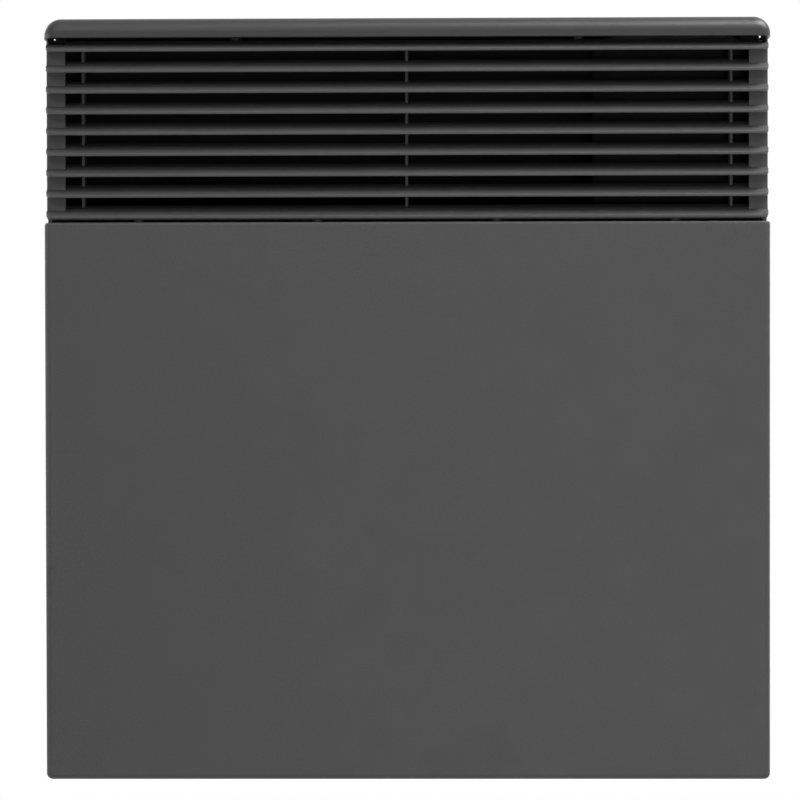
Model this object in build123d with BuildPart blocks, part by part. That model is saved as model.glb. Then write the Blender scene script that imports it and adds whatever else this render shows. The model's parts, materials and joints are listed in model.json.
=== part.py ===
from build123d import *
import math
import os

os.makedirs("parts", exist_ok=True)

# Wall-hung electric convector heater, in millimetres and degrees.
# +Z is up, the front faces -Y and the wall is the plane Y = 0.
# The origin is the centre of the four wall screws on the back face of the wall bracket.
# Below, "out" is a distance from the wall and "up" a distance above the heater's lower edge.

# Overall sizes
width = 418.5
height = 440.0
body_depth = 62.0
wall_gap = 18.0
screw_drop = 200.0

# Fits and cuts
slip = 0.3
running = 0.05
screw_clearance = 0.1
overrun = 5.0

# Front cover, one folded sheet
cover_sheet = 1.2
cover_side_radius = 4.0
cover_top_radius = 1.6
cover_low_radius = 3.4
cover_lip = 12.0
cover_screw_inset = 10.0
cover_screw_end = 45.0

# Outlet grille, moulded in one piece with its end walls
slat_count = 9
slat_pitch = 12.0
slat_front = 1.9
slat_depth = 12.0
slat_tilt = 30.0
slat_tail = 1.2
slat_edge_radius = 0.4
slat_corner_radius = 4.5
top_gap = 8.35
seam_gap = 1.75
grille_side_inset = 0.85
grille_wall = 1.6
grille_low_radius = 2.0
rib_width = 1.6
rib_depth = 6.0
rib_setback = 10.0
rib_inset = 20.6
rail_height = 1.7
rail_depth = 8.0
rail_front_setback = 3.0
jamb_width = 10.9
jamb_setback = 6.0
jamb_thickness = 2.0
jamb_corner_radius = 0.8
end_foot_inset = 1.3
end_foot_width = 2.4
notch_inset = 2.3
notch_width = 3.3
notch_depth = 1.5
notch_setback = 3.0
skirt_drop = 6.0
grille_boss_radius = 3.0
grille_boss_setback = 8.0
grille_boss_count = 4
grille_boss_side_inset = 53.1

# Top cover, a hollow bullnose cap with a well for the controls
cap_overhang = 0.75
cap_height = 12.0
cap_shoulder_radius = 10.0
cap_front_radius = 8.3
cap_wall = 2.0
cap_edge_radius = 0.6
cap_boss_radius = 3.4
cap_boss_well_gap = 18.0
cap_boss_front_setback = 18.0
cap_boss_back_inset = 12.0
vent_length = 13.8
vent_height = 2.8
vent_low = 3.6
vent_back_inset = 21.0
vent_reach = 8.0
well_width = 78.0
well_front_gap = 2.0
well_side_inset = 14.0
well_back_inset = 8.0
well_corner_radius = 5.0
well_rim_radius = 0.8
collar_wall = 2.0

# Back chassis, a folded tray
chassis_sheet = 1.0
chassis_bend = 1.8
chassis_flange = 26.0
chassis_sill = 12.0
swage_width = 10.0
swage_rise = 1.0
swage_side_inset = 57.2
swage_low = 140.0

# Inlet grille, a slotted plate across the bottom
inlet_sheet = 1.0
inlet_slot_share = 0.8182
inlet_slot_width = 5.0
inlet_margin = 11.9
inlet_pitch_out = 9.0
inlet_columns = 9
inlet_rows = 4

# Heat shield, a bright sheet behind the element
shield_sheet = 0.8
shield_stand = 7.0
shield_end_inset = 10.0
shield_low = 60.0
shield_drop = 21.9
shield_foot = 9.0

# Front baffle, a bright sheet behind the front cover
baffle_sheet = 0.8
baffle_gap = 7.0
baffle_low = 58.0
baffle_return = 6.0

# Air deflector, a black sheet that turns the warm air out through the slats
deflector_sheet = 1.0
deflector_lift = 0.35
deflector_straight = 26.0
deflector_slope_rise = 66.0
deflector_front_gap = 7.0
deflector_top_gap = 1.0
deflector_bend = 16.0
deflector_side_gap = 1.3

# Heating element, a finned aluminium section round a sheathed rod
element_level = 95.0
element_side_inset = 57.2
element_core_radius = 6.0
wing_length = 19.0
wing_thickness = 2.4
wing_fold_height = 5.0
pin_radius = 3.5
pin_tail = 10.0
terminal_radius = 3.5
terminal_length = 8.0
bush_radius = 8.0
bush_flange_radius = 11.0
bush_flange = 3.0
bush_length = 6.0
bush_gap = 2.0
bracket_sheet = 1.0
bracket_rise = 50.0
bracket_foot = 14.0

# Thermal cut-out on the heat shield
cutout_across = 40.0
cutout_drop = 20.0
cutout_radius = 8.0
cutout_height = 7.0
cutout_tab_spacing = 8.0
cutout_tab_width = 3.0
cutout_tab_thickness = 1.0
cutout_tab_length = 9.0

# Room sensor on the inlet grille
sensor_side_inset = 7.2
sensor_out = 55.0
sensor_post_width = 4.0
sensor_post_height = 14.0
sensor_radius = 2.5
sensor_height = 7.0

# Control housing and what it holds
housing_wall = 2.0
housing_height = 71.4
apron_drop = 35.0
wing_gap = 2.5
fascia_thickness = 2.5
board_drop = 23.0
board_thickness = 1.6
board_gap = 1.0
post_radius = 2.4
post_inset = 5.5
dial_side_gap = 2.5
dial_height = 7.6
dial_side_inset = 16.0
dial_grip_count = 24
dial_grip_radius = 0.7
dial_gap = 0.6
dial_skirt = 2.0
dial_wall = 2.0
dial_core_share = 0.4
shaft_share = 0.24
shaft_length = 19.0
dial_seat_depth = 4.0
pot_width = 16.0
pot_height = 7.0
pot_bush_radius = 4.6
rocker_width = 11.0
rocker_length_share = 0.6
rocker_across = 46.0
rocker_tilt = 12.0
rocker_height = 5.0
rocker_pivot_drop = 1.0
rocker_axle_radius = 1.2
switch_flange = 2.0
switch_rim = 1.2
switch_depth = 15.0
slider_across = 69.0
slider_width = 7.0
slider_length = 5.0
slider_height = 4.0
slider_stem = 2.0
slider_travel = 8.0
mode_switch_width = 9.0
mode_switch_length_share = 0.6
mode_switch_channel = 4.0
lens_radius = 1.8
lens_height = 1.2
relay_width = 19.0
relay_depth_share = 0.473
relay_height = 12.0
transformer_width = 27.0
transformer_depth_share = 0.757
transformer_height = 18.0
capacitor_radius = 5.0
capacitor_height = 15.0
connector_width = 32.0
connector_depth_share = 0.347
connector_height = 10.0
connector_side_inset = 7.5
connector_back_gap = 2.6

# Mains side, at the lower right
block_width = 24.0
block_depth = 14.0
block_height = 20.0
block_level = 25.0
block_side_inset = 24.5
block_pole_pitch = 8.0
block_screw_radius = 2.0
block_screw_depth = 3.0
gland_side_inset = 14.5
gland_level = 22.0
gland_bore_radius = 3.8
gland_radius = 6.0
gland_flange_radius = 8.0
gland_flange = 2.5
earth_gap = 30.7
earth_level = 24.0
earth_stud_radius = 2.0
earth_stud_length = 10.0
earth_nut_radius = 4.0
earth_nut_height = 3.2
earth_tag_width = 6.0
earth_tag_length = 10.0
earth_tag_sheet = 1.2

# Internal wires
wire_radius = 1.3
wire_bend = 6.0
wire_out = 30.0
wire_front_out = 38.0
wire_pitch = 5.8
wire_side_inset = 15.0
wire_cross_gap = 12.0
wire_turn_level = 140.0
wire_lift = 30.0

# Wall bracket with its two turning locks
plate_width = 250.0
plate_height = 280.0
plate_sheet = 1.5
plate_band = 30.0
plate_corner_radius = 6.0
plate_screw_side_inset = 25.0
plate_screw_end_inset = 20.0
wall_screw_radius = 3.0
arm_gap = 0.5
ledge_setback = 1.5
hook_rise = 12.0
hook_height = 8.0
hook_nose_rise = 6.0
hook_nose_depth = 4.0
hook_reach = 6.0
hook_slack = 0.75
lock_boss_gap = 20.0
lock_reach = 14.0
lock_nose_width = 8.0
lock_thickness = 2.5
lock_hub_radius = 6.5
lock_hub_height = 6.0
lock_slot_width = 1.2
lock_slot_depth = 1.0
lock_pivot_radius = 2.5
lock_pivot_head_radius = 4.0
lock_pivot_head = 1.2
lock_slack = 0.6
spacer_side_inset = 57.2
spacer_level = 30.0
spacer_radius = 8.0
spacer_peg_radius = 2.5
spacer_cap_radius = 4.0
spacer_cap = 1.4

# Screws
shank_radius = 1.5
head_radius = 2.9
head_top_radius = 2.2
head_height = 1.8
screw_length = 5.0
recess_width = 0.7
recess_length = 3.0
recess_depth = 0.9
sheet_screw_length = 3.2

# Places and sizes that several pieces share
screw_level = height - screw_drop
base = -screw_level
half_width = width / 2
depth = wall_gap + body_depth
grille_half = half_width - grille_side_inset
cap_half = half_width + cap_overhang
cap_low = height - cap_height
slat_lips = [cap_low - top_gap - slat_pitch * i for i in range(slat_count)]
grille_low = slat_lips[-1]
grille_high = cap_low - slip
cover_height = grille_low - seam_gap
cover_inner = half_width - cover_sheet
grille_inner = grille_half - grille_wall
chassis_half = grille_inner - slip
chassis_low = cover_low_radius + slip
plate_face = wall_gap + chassis_sheet
slat_back = depth - slat_depth
slat_rise = slat_depth * math.tan(math.radians(slat_tilt))
rail_back = slat_back - rail_depth
inlet_level = chassis_low + chassis_sheet
inlet_top = inlet_level + inlet_sheet
baffle_back = depth - cover_sheet - baffle_gap - baffle_sheet
shield_high = cover_height - shield_drop
shield_out = plate_face + shield_stand
shield_front = shield_out + shield_sheet
element_out = (shield_front + baffle_back) / 2
element_half = chassis_half - element_side_inset
shield_half = element_half - shield_end_inset
swage_across = chassis_half - swage_side_inset
spacer_across = chassis_half - spacer_side_inset
deflector_low = grille_low + deflector_lift
wire_cross_level = shield_high + wire_cross_gap
bracket_face = element_half + bush_gap + bush_flange
pin_end = bracket_face + bracket_sheet + bush_length + pin_tail
terminal_end = pin_end + terminal_length

# Controls: the well in the top cover, the fascia under it and the housing round the parts
well_right = cap_half - well_side_inset
well_left = well_right - well_width
well_back = wall_gap + well_back_inset
housing_front = rail_back - well_front_gap
well_front = housing_front - collar_wall
well_depth = well_front - well_back
well_across = (well_left + well_right) / 2
well_out = (well_back + well_front) / 2
housing_left = well_left - collar_wall
housing_right = well_right + collar_wall
housing_back = wall_gap + cap_wall + slip
fascia_low = grille_high - slip
fascia_top = fascia_low + fascia_thickness
collar_low = fascia_top + slip
housing_low = fascia_low - housing_height
cap_boss_across = well_left - cap_boss_well_gap
board_top = fascia_low - board_drop
board_low = board_top - board_thickness
board_inset = housing_wall + board_gap
board_depth = housing_front - housing_back - 2 * board_inset
connector_depth = board_depth * connector_depth_share
dial_radius = well_depth / 2 - dial_side_gap
shaft_radius = dial_radius * shaft_share
rocker_length = well_depth * rocker_length_share
mode_switch_length = well_depth * mode_switch_length_share
dial_across = well_right - dial_side_inset
rocker_place = well_right - rocker_across
slider_place = well_right - slider_across
slider_start = well_out - slider_travel / 2
connector_right = housing_right - housing_wall - connector_side_inset
connector_left = connector_right - connector_width
connector_back = housing_back + housing_wall + connector_back_gap
connector_low = board_low - connector_height

# Where the wires go up into the housing, from left to right
wire_first = connector_left + wire_pitch / 2
wire_posts = [wire_first + wire_pitch * i for i in range(5)]
wire_side = chassis_half - wire_side_inset

# Lower right corner
block_right = chassis_half - block_side_inset
block_left = block_right - block_width
block_high = block_level + block_height
earth_across = block_left - earth_gap
pole_middle = (block_left + block_right) / 2
poles = [pole_middle - block_pole_pitch, pole_middle, pole_middle + block_pole_pitch]
gland_across = chassis_half - gland_side_inset
sensor_across = chassis_half - sensor_side_inset

# Wall bracket
arm_out = wall_gap - arm_gap
plate_low = screw_level - plate_height / 2
plate_high = screw_level + plate_height / 2
hook_level = plate_low + hook_rise
arm_across = plate_width / 2 - plate_sheet / 2
screw_spacing_across = plate_width - 2 * plate_screw_side_inset
screw_spacing_up = plate_height - 2 * plate_screw_end_inset
lock_across = cap_boss_across - lock_boss_gap
lock_low = plate_high + slip
lock_high = lock_low + lock_thickness
lock_out = arm_out / 2

# Screw places
side_screw_out = wall_gap + cover_screw_inset
side_screw_levels = [cover_screw_end, cover_height - cover_screw_end]
grille_screw_out = depth - grille_boss_setback
grille_boss_reach = grille_half - grille_boss_side_inset
grille_boss_spacing = 2 * grille_boss_reach / (grille_boss_count - 1)
grille_screw_places = [grille_boss_spacing * i - grille_boss_reach for i in range(grille_boss_count)]
cap_screw_front = depth - cap_boss_front_setback
cap_screw_back = wall_gap + cap_boss_back_inset
shield_screw_levels = [shield_low - shield_foot / 2, shield_high + shield_foot / 2]
bracket_screw_levels = [element_level - bracket_rise / 4, element_level + bracket_rise / 4]
bracket_screw_across = bracket_face + bracket_sheet + bracket_foot / 2
deflector_screw_level = deflector_low + deflector_straight / 3
deflector_left = chassis_sheet + deflector_side_gap - chassis_half
deflector_right = housing_left - deflector_side_gap
deflector_screw_places = [deflector_left / 2, deflector_right / 2]
housing_screw_level = housing_low + 2 * post_inset
housing_screw_places = [housing_left + 2 * post_inset, wire_first - 2 * post_inset]
block_screw_level = block_level + block_height / 2

sheet_screws = [(side * shield_half / 2, shield_sheet, up) for side in (-1, 1) for up in shield_screw_levels]
sheet_screws += [(side * bracket_screw_across, bracket_sheet, up)
                 for side in (-1, 1) for up in bracket_screw_levels]
sheet_screws += [(across, deflector_sheet, deflector_screw_level) for across in deflector_screw_places]
housing_grip = housing_back + housing_wall - plate_face
sheet_screws += [(across, housing_grip, housing_screw_level) for across in housing_screw_places]


def level(up):
    """Plane parallel to the floor, a height above the heater's lower edge."""
    return Plane.XY.offset(base + up)


def facing(out):
    """Plane parallel to the wall, a distance out from it, looking into the room."""
    return Plane.XZ.offset(out)


def block(across, out, up, mode=Mode.ADD):
    """Box over a span from left to right, a span out from the wall and a span up from the lower edge."""
    with Locations((sum(across) / 2, -sum(out) / 2, base + sum(up) / 2)):
        Box(across[1] - across[0], out[1] - out[0], up[1] - up[0], mode=mode)


def peg(plane, radius, length, mode=Mode.ADD):
    """Round bar that starts on a plane's origin and runs along its normal."""
    with Locations(plane):
        Cylinder(radius, length, align=(Align.CENTER, Align.CENTER, Align.MIN), mode=mode)


def pan_screw(plane, length):
    """Cross-recess screw whose head stands on the plane and whose shank runs back through it."""
    with Locations(plane):
        Cone(head_radius, head_top_radius, head_height, align=(Align.CENTER, Align.CENTER, Align.MIN))
        Cylinder(shank_radius, length, align=(Align.CENTER, Align.CENTER, Align.MAX))
    with Locations(plane.offset(head_height)):
        Box(recess_length, recess_width, 2 * recess_depth, mode=Mode.SUBTRACT)
        Box(recess_width, recess_length, 2 * recess_depth, mode=Mode.SUBTRACT)


def upward(across, out, up):
    """Plane at a point, facing up."""
    return Plane((across, -out, base + up), x_dir=(1, 0, 0), z_dir=(0, 0, 1))


def downward(across, out, up):
    """Plane at a point, facing down."""
    return Plane((across, -out, base + up), x_dir=(1, 0, 0), z_dir=(0, 0, -1))


def forward(across, out, up):
    """Plane at a point, facing into the room."""
    return Plane((across, -out, base + up), x_dir=(1, 0, 0), z_dir=(0, -1, 0))


def sideways(across, out, up, side):
    """Plane at a point, facing right for side 1 and left for side -1."""
    return Plane((across, -out, base + up), x_dir=(0, 1, 0), z_dir=(side, 0, 0))


def save(piece, name):
    """Label a finished piece and write its file."""
    piece.part.label = name
    export_step(piece.part, "parts/" + name + ".step")


# Front cover
with BuildPart() as front_cover:
    block((-half_width, half_width), (wall_gap, depth), (0, cover_height))
    fillet(front_cover.edges().filter_by(Axis.Z).group_by(Axis.Y)[0], cover_side_radius)
    fillet(front_cover.faces().sort_by(Axis.Z)[-1].edges().sort_by(Axis.Y)[:-1], cover_top_radius)
    fillet(front_cover.faces().sort_by(Axis.Z)[0].edges().sort_by(Axis.Y)[:-1], cover_low_radius)
    offset(amount=-cover_sheet, openings=front_cover.faces().sort_by(Axis.Y)[-1])
    # Behind the narrow lips the top and the bottom are open
    block((-cover_inner, cover_inner), (wall_gap - overrun, depth - cover_lip),
          (-overrun, cover_height + overrun), Mode.SUBTRACT)
    for up in side_screw_levels:
        peg(sideways(-half_width - overrun, side_screw_out, up, 1), shank_radius + screw_clearance,
            width + 2 * overrun, Mode.SUBTRACT)
    for across in grille_screw_places:
        peg(downward(across, grille_screw_out, cover_height + overrun), shank_radius + screw_clearance,
            2 * overrun, Mode.SUBTRACT)
save(front_cover, "front_cover")

# One slat, with its lower front edge at the level of the origin plane
with BuildPart() as slat:
    with BuildSketch(Plane.YZ):
        with BuildLine():
            Polyline((-depth, 0), (-depth, slat_front), (-slat_back, slat_front + slat_rise),
                     (-slat_back, slat_front + slat_rise - slat_tail), close=True)
        make_face()
    extrude(amount=grille_half, both=True)
    fillet(slat.edges().filter_by(Axis.X).group_by(Axis.Y)[0], slat_edge_radius)

# Outline shared by slats and end walls: rounded corners in plan, and at the bottom in front view
with BuildPart() as grille_front_form:
    block((-grille_half, grille_half), (wall_gap, depth), (grille_low, grille_high))
    low_sides = grille_front_form.faces().sort_by(Axis.Z)[0].edges().filter_by(Axis.Y)
    fillet(low_sides, grille_low_radius)
with BuildPart() as grille_form:
    block((-grille_half, grille_half), (wall_gap, depth), (grille_low, grille_high))
    fillet(grille_form.edges().filter_by(Axis.Z).group_by(Axis.Y)[0], slat_corner_radius)
    add(grille_front_form.part, mode=Mode.INTERSECT)

# Right end wall, with a jamb turned inwards behind the ends of the slats
jamb_front = depth - jamb_setback
jamb_back = jamb_front - jamb_thickness
jamb_inner = grille_half - jamb_width
with BuildPart() as end_wall:
    block((grille_inner, grille_half), (wall_gap + slip, jamb_front), (grille_low, grille_high))
    block((jamb_inner, grille_half), (jamb_back, jamb_front), (grille_low, grille_high))
    fillet(end_wall.edges().filter_by(Axis.Z).group_by(Axis.Y)[0].sort_by(Axis.X)[-1], jamb_corner_radius)

# Outlet grille
with BuildPart() as outlet_grille:
    for lip in slat_lips:
        with Locations((0, 0, base + lip)):
            add(slat.part)
    add(end_wall.part)
    add(end_wall.part.mirror(Plane.YZ))
    add(grille_form.part, mode=Mode.INTERSECT)
    for across in (-(grille_half - rib_inset), 0, grille_half - rib_inset):
        block((across - rib_width / 2, across + rib_width / 2),
              (depth - rib_setback - rib_depth, depth - rib_setback), (grille_low, grille_high))
    block((-grille_inner, grille_inner), (rail_back, depth - rail_front_setback),
          (grille_low, grille_low + rail_height))
    block((-grille_inner, grille_inner), (rail_back, slat_back - rail_height),
          (grille_high - rail_height, grille_high))
    # A skirt that hangs behind the seam
    block((-grille_inner, grille_inner), (rail_back, rail_back + grille_wall),
          (grille_low - skirt_drop, grille_low))
    # Bosses that stand on the front cover's upper lip and take its screws
    boss_front = slat_front + (grille_boss_setback - grille_boss_radius) * math.tan(math.radians(slat_tilt))
    for across in grille_screw_places:
        peg(upward(across, grille_screw_out, cover_height), grille_boss_radius, seam_gap + boss_front)
        peg(upward(across, grille_screw_out, cover_height), shank_radius + running,
            screw_length, Mode.SUBTRACT)
    for side in (-1, 1):
        # A foot at each end of the seam, which stands on the front cover's upper lip
        foot = sorted((side * (grille_half - end_foot_inset - end_foot_width),
                       side * (grille_half - end_foot_inset)))
        block(foot, (depth - cover_lip + slip, depth - rail_front_setback), (cover_height, grille_low))
        peg(upward(side * cap_boss_across, cap_screw_front, grille_high - rail_height - overrun),
            shank_radius + screw_clearance, rail_height + 2 * overrun, Mode.SUBTRACT)
        # A small locating notch in the upper edge, near the end
        notch = sorted((side * (grille_half - notch_inset - notch_width), side * (grille_half - notch_inset)))
        block(notch, (rail_back - overrun, depth - notch_setback),
              (grille_high - notch_depth, grille_high + overrun), Mode.SUBTRACT)
save(outlet_grille, "outlet_grille")


def bullnose(inset):
    """Cap outline, taken in by a distance on every side but the bottom, with rounded shoulders and front."""
    with BuildPart() as form:
        block((-cap_half + inset, cap_half - inset), (wall_gap + inset, depth - inset),
              (cap_low, height - inset))
        fillet(form.faces().sort_by(Axis.Z)[-1].edges().filter_by(Axis.Y), cap_shoulder_radius - inset)
        fillet(form.faces().sort_by(Axis.Y)[0].edges().sort_by(Axis.Z)[1:], cap_front_radius - inset)
    return form.part


cap_outside = bullnose(0)
cap_inside = bullnose(cap_wall)

# Top cover
with BuildPart() as top_cover:
    add(cap_outside)
    fillet(top_cover.faces().sort_by(Axis.Z)[0].edges(), cap_edge_radius)
    add(cap_inside, mode=Mode.SUBTRACT)
    with BuildSketch(level(collar_low)):
        with Locations((well_across, -well_out)):
            RectangleRounded(well_width + 2 * collar_wall, well_depth + 2 * collar_wall,
                             well_corner_radius + collar_wall)
    extrude(amount=height - collar_low)
    with BuildSketch(level(collar_low - overrun)):
        with Locations((well_across, -well_out)):
            RectangleRounded(well_width, well_depth, well_corner_radius)
    extrude(amount=height - collar_low + 2 * overrun, mode=Mode.SUBTRACT)
    rim = top_cover.faces().sort_by(Axis.Z)[-1].inner_wires()[0].edges()
    fillet(rim, well_rim_radius)
    for side in (-1, 1):
        for out in (cap_screw_front, cap_screw_back):
            peg(upward(side * cap_boss_across, out, grille_high), cap_boss_radius,
                height - cap_wall - grille_high)
            peg(upward(side * cap_boss_across, out, grille_high), shank_radius + running,
                screw_length, Mode.SUBTRACT)
        # Side vent near the back, cut through the rounded shoulder
        vent = sorted((side * (cap_half - vent_reach), side * (cap_half + overrun)))
        block(vent, (wall_gap + vent_back_inset, wall_gap + vent_back_inset + vent_length),
              (cap_low + vent_low, cap_low + vent_low + vent_height), Mode.SUBTRACT)
save(top_cover, "top_cover")

# Back chassis
lock_sweep = math.sqrt(lock_reach ** 2 + (lock_nose_width / 2) ** 2 - (wall_gap - lock_out) ** 2)
with BuildPart() as back_chassis:
    block((-chassis_half, chassis_half), (wall_gap, wall_gap + chassis_flange), (chassis_low, grille_high))
    fillet(back_chassis.faces().sort_by(Axis.Y)[-1].edges(), chassis_bend)
    offset(amount=-chassis_sheet, openings=back_chassis.faces().sort_by(Axis.Y)[0])
    # Upright swages that stiffen the back, pressed outwards
    for side in (-1, 1):
        block((side * swage_across - swage_width / 2, side * swage_across + swage_width / 2),
              (wall_gap - swage_rise, wall_gap), (swage_low, shield_high))
    swage_edges = back_chassis.faces().sort_by(Axis.Y)[-2:].edges()
    chamfer(swage_edges, swage_rise - running)
    # The lower fold is a narrow sill, and the upper one makes room for the control housing
    block((-chassis_half + chassis_sheet, chassis_half - chassis_sheet),
          (wall_gap + chassis_sill, wall_gap + chassis_flange + overrun),
          (chassis_low - overrun, inlet_level), Mode.SUBTRACT)
    block((housing_left - slip, housing_right + slip), (plate_face, plate_face + chassis_flange),
          (fascia_low - overrun, fascia_low + overrun), Mode.SUBTRACT)
    for side in (-1, 1):
        hook_side = side * arm_across
        block((hook_side - plate_sheet / 2 - hook_slack, hook_side + plate_sheet / 2 + hook_slack),
              (wall_gap - overrun, wall_gap + overrun),
              (hook_level - hook_slack, hook_level + hook_height + hook_slack + hook_nose_rise),
              Mode.SUBTRACT)
        lock_side = side * lock_across
        lock_span = sorted((lock_side - side * (lock_sweep + lock_slack),
                            lock_side + side * (lock_nose_width / 2 + lock_slack)))
        block(lock_span, (wall_gap - overrun, wall_gap + overrun),
              (lock_low - lock_slack, lock_high + lock_slack), Mode.SUBTRACT)
        peg(forward(side * spacer_across, wall_gap - overrun, spacer_level), spacer_peg_radius + running,
            2 * overrun, Mode.SUBTRACT)
        peg(upward(side * cap_boss_across, cap_screw_back, grille_high - overrun),
            shank_radius + screw_clearance, 2 * overrun, Mode.SUBTRACT)
    for across, thickness, up in sheet_screws:
        peg(forward(across, wall_gap - overrun, up), shank_radius + running, 2 * overrun, Mode.SUBTRACT)
    for across in (pole_middle - block_pole_pitch / 2, pole_middle + block_pole_pitch / 2):
        peg(forward(across, wall_gap - overrun, block_screw_level), shank_radius + running,
            2 * overrun, Mode.SUBTRACT)
    for up in side_screw_levels:
        peg(sideways(-half_width - overrun, side_screw_out, up, 1), shank_radius + running,
            width + 2 * overrun, Mode.SUBTRACT)
    peg(forward(gland_across, wall_gap - overrun, gland_level), gland_radius + running,
        2 * overrun, Mode.SUBTRACT)
    peg(forward(earth_across, wall_gap - overrun, earth_level), earth_stud_radius + running,
        2 * overrun, Mode.SUBTRACT)
save(back_chassis, "back_chassis")

# Inlet grille
inlet_half = chassis_half - chassis_sheet - slip
inlet_back = wall_gap + chassis_bend + slip
inlet_front = depth - cover_sheet - slip
with BuildPart() as inlet_grille:
    block((-inlet_half, inlet_half), (inlet_back, inlet_front), (inlet_level, inlet_top))
    inlet_pitch_across = 2 * (inlet_half - inlet_margin) / (inlet_columns - 1 + inlet_slot_share)
    with BuildSketch(level(inlet_level - overrun)):
        with Locations((0, -(wall_gap + chassis_sill + inlet_front) / 2)):
            with GridLocations(inlet_pitch_across, inlet_pitch_out, inlet_columns, inlet_rows):
                SlotOverall(inlet_pitch_across * inlet_slot_share, inlet_slot_width)
    extrude(amount=2 * overrun, mode=Mode.SUBTRACT)
save(inlet_grille, "inlet_grille")

# Heat shield
shield_span = (-shield_half, shield_half)
with BuildPart() as heat_shield:
    block(shield_span, (shield_out, shield_front), (shield_low, shield_high))
    block(shield_span, (plate_face, shield_front), (shield_low - shield_sheet, shield_low))
    block(shield_span, (plate_face, shield_front), (shield_high, shield_high + shield_sheet))
    block(shield_span, (plate_face, plate_face + shield_sheet), (shield_low - shield_foot, shield_low))
    block(shield_span, (plate_face, plate_face + shield_sheet), (shield_high, shield_high + shield_foot))
    for across, thickness, up in sheet_screws:
        peg(forward(across, wall_gap, up), shank_radius + screw_clearance, 2 * overrun, Mode.SUBTRACT)
save(heat_shield, "heat_shield")

# Front baffle
baffle_half = bracket_face + bracket_sheet + bracket_foot
with BuildPart() as front_baffle:
    block((-baffle_half, baffle_half), (baffle_back, baffle_back + baffle_sheet), (baffle_low, shield_high))
    for edge in (baffle_low, shield_high - baffle_sheet):
        block((-baffle_half, baffle_half), (baffle_back, baffle_back + baffle_return),
              (edge, edge + baffle_sheet))
save(front_baffle, "front_baffle")

# Air deflector
deflector_start = plate_face + deflector_sheet
deflector_reach = rail_back - deflector_front_gap - deflector_start
with BuildPart() as air_deflector:
    with BuildSketch(Plane.YZ.offset(deflector_left)):
        with BuildLine():
            FilletPolyline(
                (-deflector_start, base + deflector_low),
                (-deflector_start, base + deflector_low + deflector_straight),
                (-(deflector_start + deflector_reach),
                 base + deflector_low + deflector_straight + deflector_slope_rise),
                (-(deflector_start + deflector_reach), base + height - cap_wall - deflector_top_gap),
                radius=deflector_bend)
            offset(amount=deflector_sheet, side=Side.RIGHT)
        make_face()
    extrude(amount=deflector_right - deflector_left)
    for across in deflector_screw_places:
        peg(forward(across, wall_gap, deflector_screw_level), shank_radius + screw_clearance,
            2 * overrun, Mode.SUBTRACT)
save(air_deflector, "air_deflector")

# Heating element, with its two supply pins
element_centre = (-element_out, base + element_level)
with BuildPart() as heating_element:
    with BuildSketch(Plane.YZ.offset(-element_half)):
        with Locations(element_centre):
            Circle(element_core_radius)
            for turn in (45, 135):
                Rectangle(2 * wing_length, wing_thickness, rotation=turn)
            with PolarLocations(wing_length, 4, start_angle=45):
                Rectangle(wing_thickness, wing_fold_height)
    extrude(amount=2 * element_half)
    with BuildSketch(Plane.YZ.offset(-pin_end)):
        with Locations(element_centre):
            Circle(pin_radius)
    extrude(amount=2 * pin_end)
save(heating_element, "heating_element")

with BuildPart() as element_terminals:
    for side in (-1, 1):
        peg(sideways(side * pin_end, element_out, element_level, side), terminal_radius, terminal_length)
save(element_terminals, "element_terminals")

with BuildPart() as element_bushes:
    for side in (-1, 1):
        start = side * (bracket_face - bush_flange)
        peg(sideways(start, element_out, element_level, side), bush_flange_radius, bush_flange)
        peg(sideways(start, element_out, element_level, side), bush_radius,
            bush_flange + bracket_sheet + bush_length)
        peg(sideways(start, element_out, element_level, side), pin_radius + screw_clearance,
            bush_flange + bracket_sheet + bush_length, Mode.SUBTRACT)
save(element_bushes, "element_bushes")

for side, name in ((-1, "element_bracket_left"), (1, "element_bracket_right")):
    near = side * bracket_face
    far = side * (bracket_face + bracket_sheet)
    toe = side * (bracket_face + bracket_sheet + bracket_foot)
    rise = (element_level - bracket_rise / 2, element_level + bracket_rise / 2)
    with BuildPart() as element_bracket:
        block(sorted((near, far)), (plate_face, baffle_back), rise)
        block(sorted((near, toe)), (plate_face, plate_face + bracket_sheet), rise)
        block(sorted((near, toe)), (baffle_back - bracket_sheet, baffle_back), rise)
        peg(sideways(near - side * overrun, element_out, element_level, side), bush_radius + screw_clearance,
            2 * overrun, Mode.SUBTRACT)
        for up in bracket_screw_levels:
            peg(forward(side * bracket_screw_across, wall_gap, up), shank_radius + screw_clearance,
                2 * overrun, Mode.SUBTRACT)
    save(element_bracket, name)

# Thermal cut-out
cutout_level = shield_high - cutout_drop
cutout_middle = shield_front + cutout_height / 2
cutout_tops = [cutout_across - cutout_tab_spacing / 2, cutout_across + cutout_tab_spacing / 2]
cutout_top = cutout_level + cutout_radius + cutout_tab_length
with BuildPart() as thermal_cutout:
    peg(forward(cutout_across, shield_front, cutout_level), cutout_radius, cutout_height)
    for across in cutout_tops:
        block((across - cutout_tab_width / 2, across + cutout_tab_width / 2),
              (cutout_middle - cutout_tab_thickness / 2, cutout_middle + cutout_tab_thickness / 2),
              (cutout_level, cutout_top))
save(thermal_cutout, "thermal_cutout")

# Room sensor: a clip that stands on the inlet grille and the bead on top of it
sensor_low = inlet_top + sensor_post_height
with BuildPart() as sensor_clip:
    block((sensor_across - sensor_post_width / 2, sensor_across + sensor_post_width / 2),
          (sensor_out - sensor_post_width, sensor_out + sensor_post_width), (inlet_top, sensor_low))
save(sensor_clip, "sensor_clip")

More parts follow.
